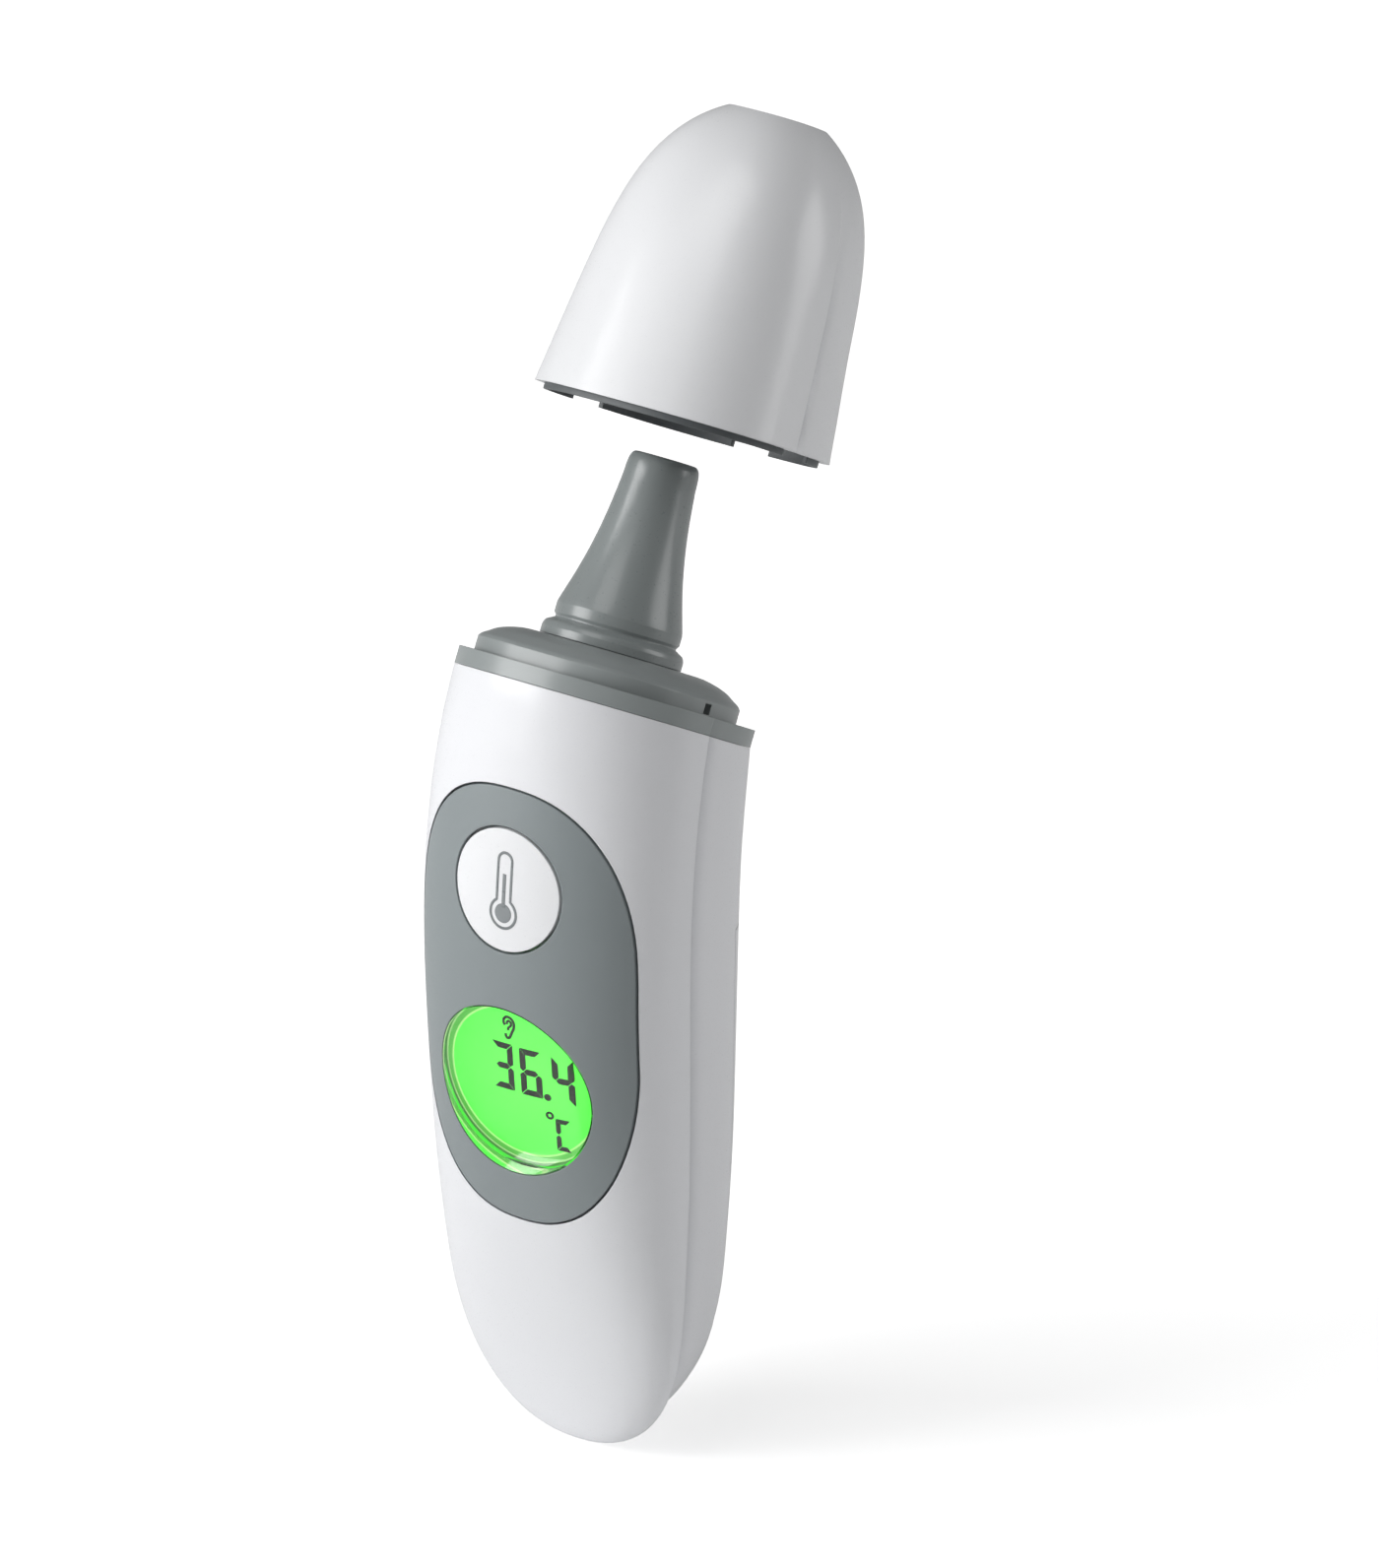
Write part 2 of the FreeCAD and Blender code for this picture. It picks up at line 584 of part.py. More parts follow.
def flare_radius(height):
    fall = math.exp(-(max(height - PROBE_FOOT_H, 0.0) / 11.2) ** 1.15)
    return PROBE_TIP_R + (PROBE_SEAT_R - PROBE_TIP_R) * fall


def make_probe_sleeve():
    """Sleeve with a splined flare outside and straight facets elsewhere."""
    flare = [(flare_radius(height), height) for height in FLARE_HEIGHTS]
    outer = profile_points(PROBE_TIP + flare + [(PROBE_SEAT_R, PROBE_FOOT_H)])
    rest = [outer[-1]] + profile_points(PROBE_FLANGE + PROBE_BORE) + [outer[0]]
    edges = [curve_through(outer).toShape()]
    edges += [line(start, end) for start, end in zip(rest, rest[1:])]
    return head_place(revolve(Part.Wire(edges)))


def make_sensor_leads():
    """Three leads from the sensor board down to the rear face of the main board."""
    leads = []
    for x in (-1.6, 0, 1.6):
        start = head_point(1.25) + Vector(x, 0, 0)
        bends = [start + Vector(0, -2.5, -5.0), start + Vector(0, -5.5, -9.5)]
        leads.append(sweep([start] + bends + [Vector(x, PCB_BACK + 0.42, 9.6)], 0.4))
    return Part.makeCompound(leads)


# ---- cap and liner, in the head frame ----
CAP_H = 41.7              # height of the cap
CAP_LIFT = 36.0           # how far the cap stands off its seat, along the probe axis
CAP_HALF = 20.1           # nominal half extent at the foot
CAP_SHIFT = 1.6           # how far the top sits behind the foot
CAP_CENTRE = 9.75         # centre the sections scale about, measured as PROBE_B
CAP_HEIGHTS = [0.05, 4.0, 8.0, 12.0, 16.0, 20.0, 24.0, 27.5, 30.5, 33.0, 35.2, 37.0, 38.5,
               39.8, 40.8, CAP_H]
CAVITY_HEIGHTS = [-0.5, 2.75, 5.3, 10.4, 15.6, 20.7, 25.8, 31.0, 36.1, 38.4]
LINER_HEIGHTS = [-0.8, 0.0, 2.0, 4.0, 6.0, 8.0]


def cap_half(height):
    """Half extent of the cap at a height above its foot."""
    return (CAP_HALF - 0.11 * height) * (1 - (max(height, 0.0) / 43.9) ** 5.6) ** 0.6


def cap_points(height):
    """Cap section as one closed loop: front, soft side grooves, rear."""
    rise = height / CAP_H
    scale = cap_half(height) / CAP_HALF
    fade = max(0.0, 1 - max(0.0, (height - 14.0)) / 20.0)   # the grooves die out upwards
    lip = 7.8 + 0.6 * rise
    half, front_reach, rear_reach = 19.35, lip + 9.0, 28.4 - lip

    def side(rear, count=240):
        points = []
        for i in range(count + 1):
            angle = math.pi * i / count
            across, out = math.cos(angle), math.sin(angle)
            if rear:
                power = 2.9 - 0.6 * rise
                x = signed_power(half, -across, power)
                y = lip + signed_power(rear_reach, out, power)
                back = y - lip
                groove = 1.0 * fade * (1 - math.exp(-(back / 0.5) ** 2))
                groove += 0.7 * fade * math.exp(-((back - 1.3) / 1.2) ** 2)
                x -= math.copysign(groove * min(1, abs(x) / 8), x)
            else:
                power = 2.25 + 0.1 * rise
                x = signed_power(half, across, power)
                y = lip - signed_power(front_reach, out, power)
            y = (y - CAP_CENTRE) * scale + CAP_CENTRE - PROBE_B + CAP_SHIFT * rise
            points.append(Vector(x * scale, y, height))
        return points

    front, rear = side(False), side(True)
    limit = rear[0].y + 3.0 * scale
    left = [p for p in rear if p.y < limit and p.x < 0]
    right = [p for p in rear if p.y < limit and p.x > 0]
    middle = rear[len(left) - 1:len(rear) - len(right) + 1]
    loop = []
    for piece, count in ((front, 37), (left, 11), (middle, 37), (right, 11)):
        loop += even(piece, count)[:-1]
    return loop


def cavity_wire(height, extra=0.0):
    """Section of the cap's cavity, inset further by the extra."""
    above = max(height, 0)
    narrowing = (CAP_HALF - cap_half(max(height, CAP_HEIGHTS[0]))) * 0.86
    inset = 0.9 + narrowing + 0.8 * (1 - math.exp(-above / 6.0)) + extra
    return head_outline(inset, height, CAP_SHIFT * above / CAP_H)


def make_cap_shell():
    # every section shares the chord-length parameters of the lowest one
    base = cap_points(CAP_HEIGHTS[0])
    run = run_lengths(base + base[:1])
    shares = [length / run[-1] for length in run]
    outer = loft([closed_wire(cap_points(z), Parameters=shares) for z in CAP_HEIGHTS])
    return head_place(outer.cut(loft([cavity_wire(z) for z in CAVITY_HEIGHTS])), CAP_LIFT)


def make_cap_liner():
    outer, inner = [loft([cavity_wire(z, extra) for z in LINER_HEIGHTS])
                    for extra in (0.05, 0.72)]
    liner = outer.cut(inner)
    liner = liner.cut(slab(30, SIDE_Y - 1.0, SIDE_Y + 5.6, -0.9, 0.4))      # side notches
    liner = liner.cut(slab(3.0, SIDE_Y, SIDE_Y + 60, -0.9, 0.4))            # rear notch
    return head_place(liner, CAP_LIFT)


# ---- write ----
PARTS = {
    "front_shell": make_front_shell(),
    "rear_shell": make_rear_shell(),
    "battery_door": make_battery_door(),
    "front_panel": make_front_panel(),
    "display_lens": make_display_lens(),
    "lcd_glass": lcd_place(slab(12.3, -12.3, 12.3, -7.0, -5.55)),
    "lcd_frame": make_lcd_frame(),
    "light_guide": lcd_place(slab(12.2, -9.6, 12.2, -8.9, -7.3)),
    "contact_strip": make_contact_strip(),
    "backlight_leds": make_backlight_leds(),
    "main_board": make_main_board(),
    "controller_chip": slab(5, PCB_BACK, PCB_BACK + 1.4, -31, -21),
    "memory_chip": box(-9.5, -5.5, PCB_BACK, PCB_BACK + 1.2, -16, -11),
    "buzzer": make_buzzer(),
    "switch_body": make_switch_body(),
    "switch_plunger": cyl_y(1.75, 0, 0, PLUNGER_Y, PCB_Y - 2.3),
    "measure_button": make_measure_button(),
    "case_screws": Part.makeCompound([make_screw(x, z) for x, z in SCREWS]),
    "battery_cells": make_battery_cells(),
    "battery_springs": make_battery_springs(),
    "battery_contacts": make_battery_contacts(),
    "head_collar": make_head_collar(),
    "probe_sleeve": make_probe_sleeve(),
    "probe_window": head_place(cyl_z(3.2, 0, 0, 30.28, 30.73)),
    "waveguide": head_place(turned(WAVEGUIDE)),
    "sensor_holder": head_place(turned(SENSOR_HOLDER)),
    "thermopile": head_place(turned(THERMOPILE)),
    "sensor_board": head_place(cyl_z(5.2, 0, 0, 1.3, 2.3)),
    "sensor_leads": make_sensor_leads(),
    "cap_shell": make_cap_shell(),
    "cap_liner": make_cap_liner(),
}

os.makedirs("parts", exist_ok=True)
for name, shape in PARTS.items():
    solids = shape.Solids
    if not solids:
        raise RuntimeError("no solid in " + name)
    part = solids[0].copy() if len(solids) == 1 else Part.makeCompound(solids).copy()
    part.translate(head_point(SEAT_H) * -1)
    part.exportStep("parts/%s.step" % name)
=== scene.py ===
# Ear thermometer with a probe cap, its handle upright: X across, front facing -Y, +Z up.
# The CAD pieces get their materials here, and the lit display and the button get their marks.
# Marks are drawn in millimetres in the handle frame, then moved to the row frame in metres.
import math

import bpy
import numpy as np
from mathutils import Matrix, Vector


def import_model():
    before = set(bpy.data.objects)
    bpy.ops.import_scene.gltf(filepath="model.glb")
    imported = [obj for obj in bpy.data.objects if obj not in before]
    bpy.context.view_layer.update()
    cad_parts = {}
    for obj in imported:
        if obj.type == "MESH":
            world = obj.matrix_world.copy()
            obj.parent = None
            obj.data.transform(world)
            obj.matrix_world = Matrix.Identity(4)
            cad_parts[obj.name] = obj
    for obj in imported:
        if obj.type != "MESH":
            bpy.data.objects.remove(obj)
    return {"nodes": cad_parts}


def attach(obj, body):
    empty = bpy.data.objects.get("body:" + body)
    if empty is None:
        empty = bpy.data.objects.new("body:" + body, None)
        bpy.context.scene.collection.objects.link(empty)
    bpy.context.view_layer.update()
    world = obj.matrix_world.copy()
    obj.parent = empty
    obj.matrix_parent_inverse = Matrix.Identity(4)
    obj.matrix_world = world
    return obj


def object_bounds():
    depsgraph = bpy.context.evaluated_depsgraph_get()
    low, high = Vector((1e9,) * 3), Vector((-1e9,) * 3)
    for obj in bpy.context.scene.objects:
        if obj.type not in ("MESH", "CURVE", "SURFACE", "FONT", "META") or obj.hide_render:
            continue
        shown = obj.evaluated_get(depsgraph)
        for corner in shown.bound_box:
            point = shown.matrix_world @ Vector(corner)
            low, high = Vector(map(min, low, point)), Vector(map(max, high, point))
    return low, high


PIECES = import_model()["nodes"]
CAD_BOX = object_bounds()
MM = 0.001
ROW_ORIGIN = Vector((0.0, 24.827695, 29.270257))  # row frame's origin in the handle frame


def to_row(point):
    """Handle frame in millimetres to the row frame in metres."""
    return (Vector(point) - ROW_ORIGIN) * MM


# ---- shader nodes ---------------------------------------------------------------
def feed(tree, node, inputs):
    """Link each input that is given a socket, and set the others to their value."""
    for key, value in inputs.items():
        if isinstance(value, bpy.types.NodeSocket):
            tree.links.new(value, node.inputs[key])
        else:
            node.inputs[key].default_value = value


def add_node(tree, kind, inputs=None, **settings):
    node = tree.nodes.new(kind)
    for key, value in settings.items():
        setattr(node, key, value)
    feed(tree, node, inputs or {})
    return node


def linear(rgb):
    """8-bit sRGB to linear."""
    return [c / 12.92 if c <= 0.04045 else ((c + 0.055) / 1.055) ** 2.4
            for c in [v / 255 for v in rgb]]


def scaled(color, factor):
    return [min(1, c * factor) for c in color]


class Material:
    """A Principled material; its methods add nodes and return their output sockets."""

    def __init__(self, name, keep_default_nodes=False):
        self.material = bpy.data.materials.new(name)
        self.material.use_nodes = True
        self.tree = self.material.node_tree
        if keep_default_nodes:
            self.shader = self.tree.nodes["Principled BSDF"]
        else:
            self.tree.nodes.clear()
            output = self.node("ShaderNodeOutputMaterial")
            self.shader = self.node("ShaderNodeBsdfPrincipled")
            feed(self.tree, output, {0: self.shader.outputs[0]})
        self.position = self.node("ShaderNodeTexCoord").outputs["Object"]

    def node(self, kind, inputs=None, **settings):
        return add_node(self.tree, kind, inputs, **settings)

    def noise(self, scale, detail, roughness=0.5, vector=None):
        return self.node("ShaderNodeTexNoise", {
            "Scale": scale, "Detail": detail, "Roughness": roughness,
            "Vector": vector or self.position}).outputs["Fac"]

    def ramp(self, value, to_min, to_max, from_min=0.3, from_max=0.7):
        """Map a range; by default the one that noise mostly fills."""
        return self.node("ShaderNodeMapRange", {
            "From Min": from_min, "From Max": from_max,
            "To Min": to_min, "To Max": to_max, "Value": value}).outputs["Result"]

    def mix(self, factor, first, second, blend="MIX"):
        """Mix two colours; the first may be a socket."""
        if not isinstance(first, bpy.types.NodeSocket):
            first = (*first, 1)
        return self.node("ShaderNodeMix", {"Factor": factor, "A": first, "B": (*second, 1)},
                         data_type="RGBA", blend_type=blend).outputs["Result"]

    def bump(self, height, strength, distance, bevel_radius=0.0):
        inputs = {"Strength": strength, "Distance": distance, "Height": height}
        if bevel_radius:
            bevel = self.node("ShaderNodeBevel", {"Radius": bevel_radius}, samples=6)
            inputs["Normal"] = bevel.outputs["Normal"]
        return self.node("ShaderNodeBump", inputs).outputs["Normal"]

    def finish(self, inputs):
        """Feed the Principled shader and return the Blender material."""
        feed(self.tree, self.shader, inputs)
        return self.material


# ---- material kinds -------------------------------------------------------------
def paint_shade_in_grooves(mat, base, amount):
    """Paint shade into recesses: darken the base colour by ambient occlusion, except near the
    floor.
    """
    occlusion = mat.node("ShaderNodeAmbientOcclusion", {"Distance": 0.005}, samples=8)
    axes = mat.node("ShaderNodeSeparateXYZ", {0: mat.position})
    bottom = CAD_BOX[0][2]
    # the floor just under the tip must not paint shade on it
    clear_of_floor = mat.ramp(axes.outputs["Z"], to_min=0.0, to_max=1.0,
                              from_min=bottom + 0.006, from_max=bottom + 0.014)
    # painted shade: strongest where the ambient occlusion is deepest
    depth = mat.ramp(occlusion.outputs["AO"], to_min=amount, to_max=0.0,
                     from_min=0.5, from_max=0.96)
    factor = mat.node("ShaderNodeMath", {0: clear_of_floor, 1: depth}, operation="MULTIPLY")
    # multiply the base towards this cool grey, the painted shade's colour
    return mat.mix(factor.outputs[0], base, (0.3, 0.31, 0.34), blend="MULTIPLY")


def plastic(name, rgb, roughness=0.3, variation=0.03, grain=2600.0, bump=0.05,
            bump_depth=0.00004, coat=0.0, specular=0.5, groove=0.0):
    mat = Material(name)
    color = linear(rgb)
    fine = mat.noise(grain, detail=4, roughness=0.55)
    broad = mat.noise(70.0, detail=2)
    base = mat.mix(broad, scaled(color, 1 - variation), scaled(color, 1 + variation * 0.6))
    # groove sets how strongly shade is painted into recesses
    if groove:
        base = paint_shade_in_grooves(mat, base, groove)
    inputs = {
        "Base Color": base,
        "Roughness": mat.ramp(fine, roughness - 0.035, roughness + 0.045),
        "Normal": mat.bump(fine, bump, bump_depth, bevel_radius=0.00022),
        "Specular IOR Level": specular,
    }
    if coat:
        inputs.update({"Coat Weight": coat, "Coat Roughness": 0.18})
    return mat.finish(inputs)


def shell_plastic(name, rgb, roughness=0.3, bump=0.012):
    """Smooth white plastic with shade painted into its seams and grooves."""
    return plastic(name, rgb, roughness, variation=0.01, grain=5200, bump=bump,
                   bump_depth=0.00001, coat=0.2, groove=0.72)


def metal(name, rgb, roughness, stretch=(1, 1, 1)):
    mat = Material(name)
    mapping = mat.node("ShaderNodeMapping", {"Scale": stretch, "Vector": mat.position})
    grain = mat.noise(900, detail=4, vector=mapping.outputs["Vector"])
    color = linear(rgb)
    return mat.finish({
        "Base Color": mat.mix(grain, scaled(color, 0.85), color),
        "Metallic": 1,
        "Roughness": mat.ramp(grain, roughness - 0.06, roughness + 0.08),
        "Normal": mat.bump(grain, strength=0.08, distance=0.00003),
    })


def clear(name, tint=(0.97, 1.0, 0.97), roughness=0.02):
    mat = Material(name)
    grain = mat.noise(400, detail=2)
    return mat.finish({
        "Base Color": (*tint, 1),
        "Transmission Weight": 1,
        "IOR": 1.47,
        "Specular IOR Level": 0.1,
        "Roughness": mat.ramp(grain, roughness - 0.01, roughness + 0.015),
        "Normal": mat.bump(grain, strength=0.01, distance=0.00002),
    })


def display_glow(name):
    """Lit display: green, brightest near the middle, with a fine grain."""
    mat = Material(name)
    distance = mat.node("ShaderNodeVectorMath",
                        {0: mat.position, 1: to_row((1.0, 4.6, -27.6))}, operation="DISTANCE")
    closeness = mat.ramp(distance.outputs["Value"], to_min=1.0, to_max=0.0,
                         from_min=0.002, from_max=0.0165)
    green = mat.mix(closeness, linear((52, 226, 40)), linear((96, 255, 74)))
    fine = mat.noise(1500, detail=2)
    return mat.finish({
        "Emission Color": mat.mix(mat.ramp(fine, 0.0, 0.06), green, (0.75, 0.9, 0.75),
                                  blend="MULTIPLY"),
        "Emission Strength": 1.12,
        "Base Color": (0.05, 0.3, 0.05, 1),
        "Roughness": 0.35,
        "Normal": mat.bump(fine, strength=0.02, distance=0.00001),
    })


# painted reflection: an emissive green standing in for display light reflected in the lens well
def painted_reflection_glow(name, rgb, strength):
    mat = Material(name)
    cloud = mat.noise(240, detail=3)
    color = linear(rgb)
    return mat.finish({
        "Emission Color": mat.mix(cloud, scaled(color, 0.75), color),
        "Emission Strength": strength,
        "Base Color": (0.1, 0.3, 0.08, 1),
        "Roughness": mat.ramp(cloud, 0.35, 0.5),
        "Normal": mat.bump(cloud, strength=0.02, distance=0.00001),
    })


def circuit_board(name):
    """Two greens in a pattern of square cells."""
    mat = Material(name)
    cells = mat.node("ShaderNodeTexVoronoi", {"Scale": 420, "Vector": mat.position},
                     feature="F1", distance="MANHATTAN").outputs["Distance"]
    edges = mat.ramp(cells, to_min=0, to_max=1, from_min=0.35, from_max=0.42)
    return mat.finish({
        "Base Color": mat.mix(edges, linear((18, 92, 48)), linear((28, 120, 64))),
        "Roughness": 0.35,
        "Normal": mat.bump(cells, strength=0.1, distance=0.00005),
    })


def floor_material():
    mat = Material("floor_white", keep_default_nodes=True)
    light_path = mat.node("ShaderNodeLightPath")
    distance = mat.node("ShaderNodeVectorMath", {0: mat.position}, operation="LENGTH")
    # glows more with distance, so that the far floor meets the backdrop without a line
    seen_glow = mat.ramp(distance.outputs["Value"], to_min=0.6, to_max=1.0,
                         from_min=0.12, from_max=1.1)
    # only the camera sees that glow; other rays see almost none
    glow = mat.ramp(light_path.outputs["Is Camera Ray"], to_min=0.04, to_max=seen_glow,
                    from_min=0.0, from_max=1.0)
    return mat.finish({
        "Base Color": (0.93, 0.93, 0.93, 1),
        "Roughness": 0.6,
        "Emission Color": (1, 1, 1, 1),
        "Emission Strength": glow,
    })


# ---- materials of the pieces ----------------------------------------------------
WHITE = shell_plastic("white_abs", (236, 237, 240))
CAP_WHITE = shell_plastic("white_abs_cap", (238, 239, 241))
DOOR_WHITE = shell_plastic("white_abs_door", (234, 235, 238), roughness=0.32, bump=0.015)
PANEL = plastic("panel_grey", (137, 145, 147), roughness=0.36, coat=0.1, bump=0.06)
BUTTON = plastic("button_white", (240, 241, 243), variation=0.01, bump=0.03)
HEAD = plastic("head_grey", (148, 154, 154), roughness=0.34, coat=0.2, bump=0.06)
PROBE = plastic("probe_grey", (138, 144, 144), coat=0.25)
LINER = plastic("liner_grey", (92, 96, 98), roughness=0.5, variation=0.05)
INK = plastic("mark_grey", (140, 145, 147), roughness=0.5, variation=0.02)
BLACK = plastic("segment_black", (2, 3, 2), roughness=0.8, variation=0.05, bump=0.01,
                specular=0.0)
RUBBER = plastic("contact_rubber", (30, 30, 30), roughness=0.7, variation=0.1, bump=0.2)
FRAME_WHITE = plastic("frame_white", (226, 232, 226), roughness=0.45, variation=0.02)
CHIP = plastic("chip_black", (24, 24, 26), roughness=0.45, variation=0.1, bump=0.15)
LED = plastic("led_body", (235, 240, 200), variation=0.02)
JACKET = plastic("cell_jacket", (44, 50, 58), roughness=0.28, variation=0.08, coat=0.5)
LEAD = plastic("lead_red", (150, 26, 22), roughness=0.45, variation=0.05)
STEEL = metal("bright_steel", (190, 192, 196), roughness=0.28, stretch=(1, 1, 6))
GOLD = metal("gold_plate", (220, 176, 92), roughness=0.12)
BRASS = metal("brass_block", (186, 150, 90), roughness=0.3)
CLEAR = clear("clear_acrylic")
WINDOW = clear("probe_window", tint=(0.5, 0.55, 0.58), roughness=0.08)
GUIDE = plastic("light_guide", (210, 245, 205), roughness=0.4, variation=0.02)
LCD = display_glow("lcd_green")
BOARD = circuit_board("board_green")

PIECE_MATERIALS = {
    "front_shell": WHITE, "rear_shell": WHITE, "battery_door": DOOR_WHITE,
    "front_panel": PANEL, "display_lens": CLEAR, "lcd_glass": LCD, "lcd_frame": FRAME_WHITE,
    "light_guide": GUIDE, "contact_strip": RUBBER, "backlight_leds": LED,
    "main_board": BOARD, "controller_chip": CHIP, "memory_chip": CHIP, "buzzer": CHIP,
    "switch_body": STEEL, "switch_plunger": CHIP, "measure_button": BUTTON,
    "case_screws": STEEL, "battery_cells": JACKET, "battery_springs": STEEL,
    "battery_contacts": STEEL, "head_collar": HEAD, "probe_sleeve": PROBE,
    "probe_window": WINDOW, "waveguide": GOLD, "sensor_holder": BRASS,
    "thermopile": STEEL, "sensor_board": BOARD, "sensor_leads": LEAD,
    "cap_shell": CAP_WHITE, "cap_liner": LINER,
}
for piece_name, piece in PIECES.items():
    if not piece.material_slots:
        piece.data.materials.append(PIECE_MATERIALS[piece_name])
    for slot in piece.material_slots:
        slot.material = PIECE_MATERIALS[piece_name]


# ---- flat outlines and meshes ---------------------------------------------------
def arc(cx, cy, radius, start, sweep, steps):
    angles = [start + sweep * i / steps for i in range(steps + 1)]
    return [(cx + radius * math.cos(a), cy + radius * math.sin(a)) for a in angles]


def disc(cx, cy, radius, steps=28):
    return arc(cx, cy, radius, 0, 2 * math.pi, steps)[:-1]


def stroke(points, half_width, closed=False):
    """Quads along a polyline."""
    count = len(points)
    points = [Vector(p) for p in points]
    offsets = []
    for i in range(count):
        before = points[i - 1] if closed or i > 0 else points[i]
        after = points[(i + 1) % count] if closed or i < count - 1 else points[i]
        along = (after - before).normalized()
        offsets.append(Vector((-along.y, along.x)) * half_width)
    quads = []
    for i in range(count if closed else count - 1):
        j = (i + 1) % count
        quads.append([points[i] - offsets[i], points[j] - offsets[j],
                      points[j] + offsets[j], points[i] + offsets[i]])
    return quads


def smooth_line(points, steps=6):
    """Catmull-Rom curve through the points."""
    curve = []
    for i in range(len(points) - 1):
        p0, p1 = points[max(i - 1, 0)], points[i]
        p2, p3 = points[i + 1], points[min(i + 2, len(points) - 1)]
        for k in range(steps):
            t = k / steps
            curve.append(tuple(
                0.5 * (2 * b + (c - a) * t + (2 * a - 5 * b + 4 * c - d) * t * t
                       + (3 * b - a - 3 * c + d) * t ** 3)
                for a, b, c, d in zip(p0, p1, p2, p3)))
    return curve + [points[-1]]


def add_mesh(name, verts, faces, material, body):
    mesh = bpy.data.meshes.new(name)
    mesh.from_pydata([tuple(v) for v in verts], [], faces)
    mesh.update()
    mesh.materials.append(material)
    obj = bpy.data.objects.new(name, mesh)
    bpy.context.scene.collection.objects.link(obj)
    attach(obj, body)


def add_plates(name, outlines, material, body, place, bottom, top):
    """Thin plates with the given outlines; place(x, y, z) gives the row-frame point."""
    verts, faces = [], []
    for outline in outlines:
        count, base = len(outline), len(verts)
        verts += [place(x, y, z) for z in (bottom, top) for x, y in outline]
        faces.append(list(range(base + count, base + 2 * count)))
        faces.append(list(range(base + count - 1, base - 1, -1)))
        for i in range(count):
            j = (i + 1) % count
            faces.append([base + i, base + j, base + count + j, base + count + i])
    add_mesh(name, verts, faces, material, body)


# ---- display --------------------------------------------------------------------
DISPLAY_TILT = math.radians(6.0)
DISPLAY_X = Vector((1, 0, 0))
DISPLAY_Y = Vector((0, -math.sin(DISPLAY_TILT), math.cos(DISPLAY_TILT)))
DISPLAY_NORMAL = Vector((0, -math.cos(DISPLAY_TILT), -math.sin(DISPLAY_TILT)))
DISPLAY_ORIGIN = Vector((0, 0.12, -28.9))
# heights along the display normal
MARK_BOTTOM = -5.53
SEGMENT_TOP = -5.48

# seven-segment signs, reading 3 6 4 C
# centre x, centre y, width, height, lit segments, stroke width
SIGNS = [
    (-2.72, 1.7, 3.08, 6.75, "abgcd", 0.86),
    (1.36, 1.6, 3.08, 6.75, "afgedc", 0.86),
    (5.95, 1.4, 3.08, 6.75, "fgbc", 0.86),
    (5.5, -6.7, 2.1, 4.7, "afed", 0.66),
]
SEGMENT_GAP = 0.07

# ear symbol about its own origin: x, y
EAR_CENTRE = (-1.45, 7.4)
EAR_X_SCALE = 0.9
EAR_OUTER = [
    (-0.72, 0.35), (-0.95, 0.8), (-0.8, 1.3), (-0.35, 1.62), (0.2, 1.58), (0.62, 1.25),
    (0.8, 0.7), (0.72, 0.1), (0.42, -0.45), (0.2, -0.9), (-0.02, -1.3), (-0.35, -1.45),
    (-0.62, -1.22), (-0.66, -0.85),
]
EAR_INNER = [
    (-0.38, 0.55), (-0.32, 0.92), (0.02, 1.08), (0.3, 0.85), (0.28, 0.45), (0.0, 0.2),
    (-0.22, -0.05), (-0.2, -0.3),
]

# painted reflection: glowing rings around the display, from the inside out, standing in for the
# lit display's green reflection in the lens well's wall
# object, inner radius, outer radius, top height, material, sRGB colour, strength
PAINTED_REFLECTION_RINGS = [
    ("display_painted_reflection_edge", 10.62, 10.86, -5.485, "painted_reflection_pale", (196, 255, 150), 0.95),
    ("display_painted_reflection_wall", 10.88, 11.6, -5.49, "painted_reflection_wall", (74, 205, 44), 0.85),
    ("display_painted_reflection_line", 11.62, 11.82, -5.485, "painted_reflection_line", (196, 240, 160), 0.8),
    ("display_painted_reflection_outer", 11.84, 12.28, -5.49, "painted_reflection_outer", (50, 140, 36), 0.8),
]


def on_display(x, y, z):
    return to_row(DISPLAY_ORIGIN + DISPLAY_X * x + DISPLAY_Y * y + DISPLAY_NORMAL * z)


def sign_segments(cx, cy, width, height, lit, t):
    """Seven-segment strokes of width t with mitred ends."""
    left, right = cx - width / 2, cx + width / 2
    bottom, top = cy - height / 2, cy + height / 2
    in_left, in_right, in_bottom, in_top = left + t, right - t, bottom + t, top - t
    mid_left, mid_right = left + t / 2, right - t / 2
    above, below = cy + t / 2, cy - t / 2
    gap = SEGMENT_GAP
    flat_cut, side_cut = gap * 0.3, gap * 1.2
    segments = {
        "a": [(left + gap, top), (right - gap, top),
              (in_right - flat_cut, in_top), (in_left + flat_cut, in_top)],
        "d": [(left + gap, bottom), (in_left + flat_cut, in_bottom),
              (in_right - flat_cut, in_bottom), (right - gap, bottom)],
        "f": [(left, top - gap), (in_left, in_top - side_cut), (in_left, above + gap),
              (mid_left, cy + gap), (left, above)],
        "b": [(right, top - gap), (right, above), (mid_right, cy + gap),
              (in_right, above + gap), (in_right, in_top - side_cut)],
        "e": [(left, bottom + gap), (left, below), (mid_left, cy - gap),
              (in_left, below - gap), (in_left, in_bottom + side_cut)],
        "c": [(right, bottom + gap), (in_right, in_bottom + side_cut),
              (in_right, below - gap), (mid_right, cy - gap), (right, below)],
        "g": [(mid_left + gap, cy), (in_left + gap, above), (in_right - gap, above),
              (mid_right - gap, cy), (in_right - gap, below), (in_left + gap, below)],
    }
    return [segments[key] for key in lit]


def ear_line(points, half_width):
    return stroke([(EAR_CENTRE[0] + EAR_X_SCALE * x, EAR_CENTRE[1] + y)
                   for x, y in smooth_line(points)], half_width)


